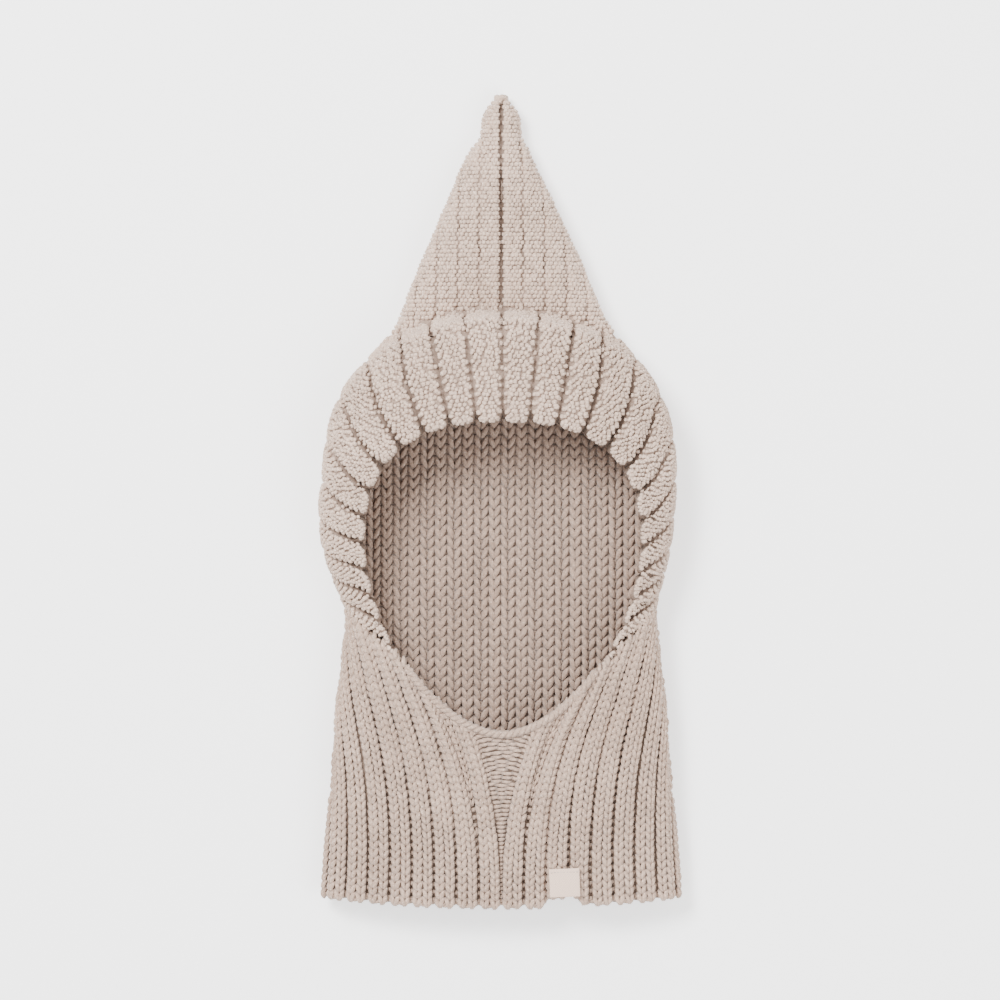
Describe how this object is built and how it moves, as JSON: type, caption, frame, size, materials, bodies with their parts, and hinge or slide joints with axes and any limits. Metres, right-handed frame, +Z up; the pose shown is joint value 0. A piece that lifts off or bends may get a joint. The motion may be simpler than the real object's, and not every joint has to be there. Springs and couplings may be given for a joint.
{
  "type": "knitted pixie hood",
  "caption": "Child's knitted pixie hood laid flat on its back: ribbed neck tube, hood with a wide oval face opening, and a pointed peak. A small woven tab sits at the hem.",
  "frame": {"origin": "on the floor, under the middle of the hood's bounding box", "axes": "+Y towards the tip of the peak, +Z up out of the face opening, +X to the right when the opening is seen from above with the peak away from the viewer"},
  "size_m": [0.181, 0.4054, 0.057],
  "materials": {
    "hood": "soft heathered wool-blend rib knit, purl side out",
    "neck": "soft heathered wool-blend rib knit, knit side out",
    "hem_tab": "matt woven ribbon"
  },
  "bodies": {
    "root": {"hood": "hood", "neck": "neck", "hem_tab": "hem_tab"}
  },
  "joints": []
}
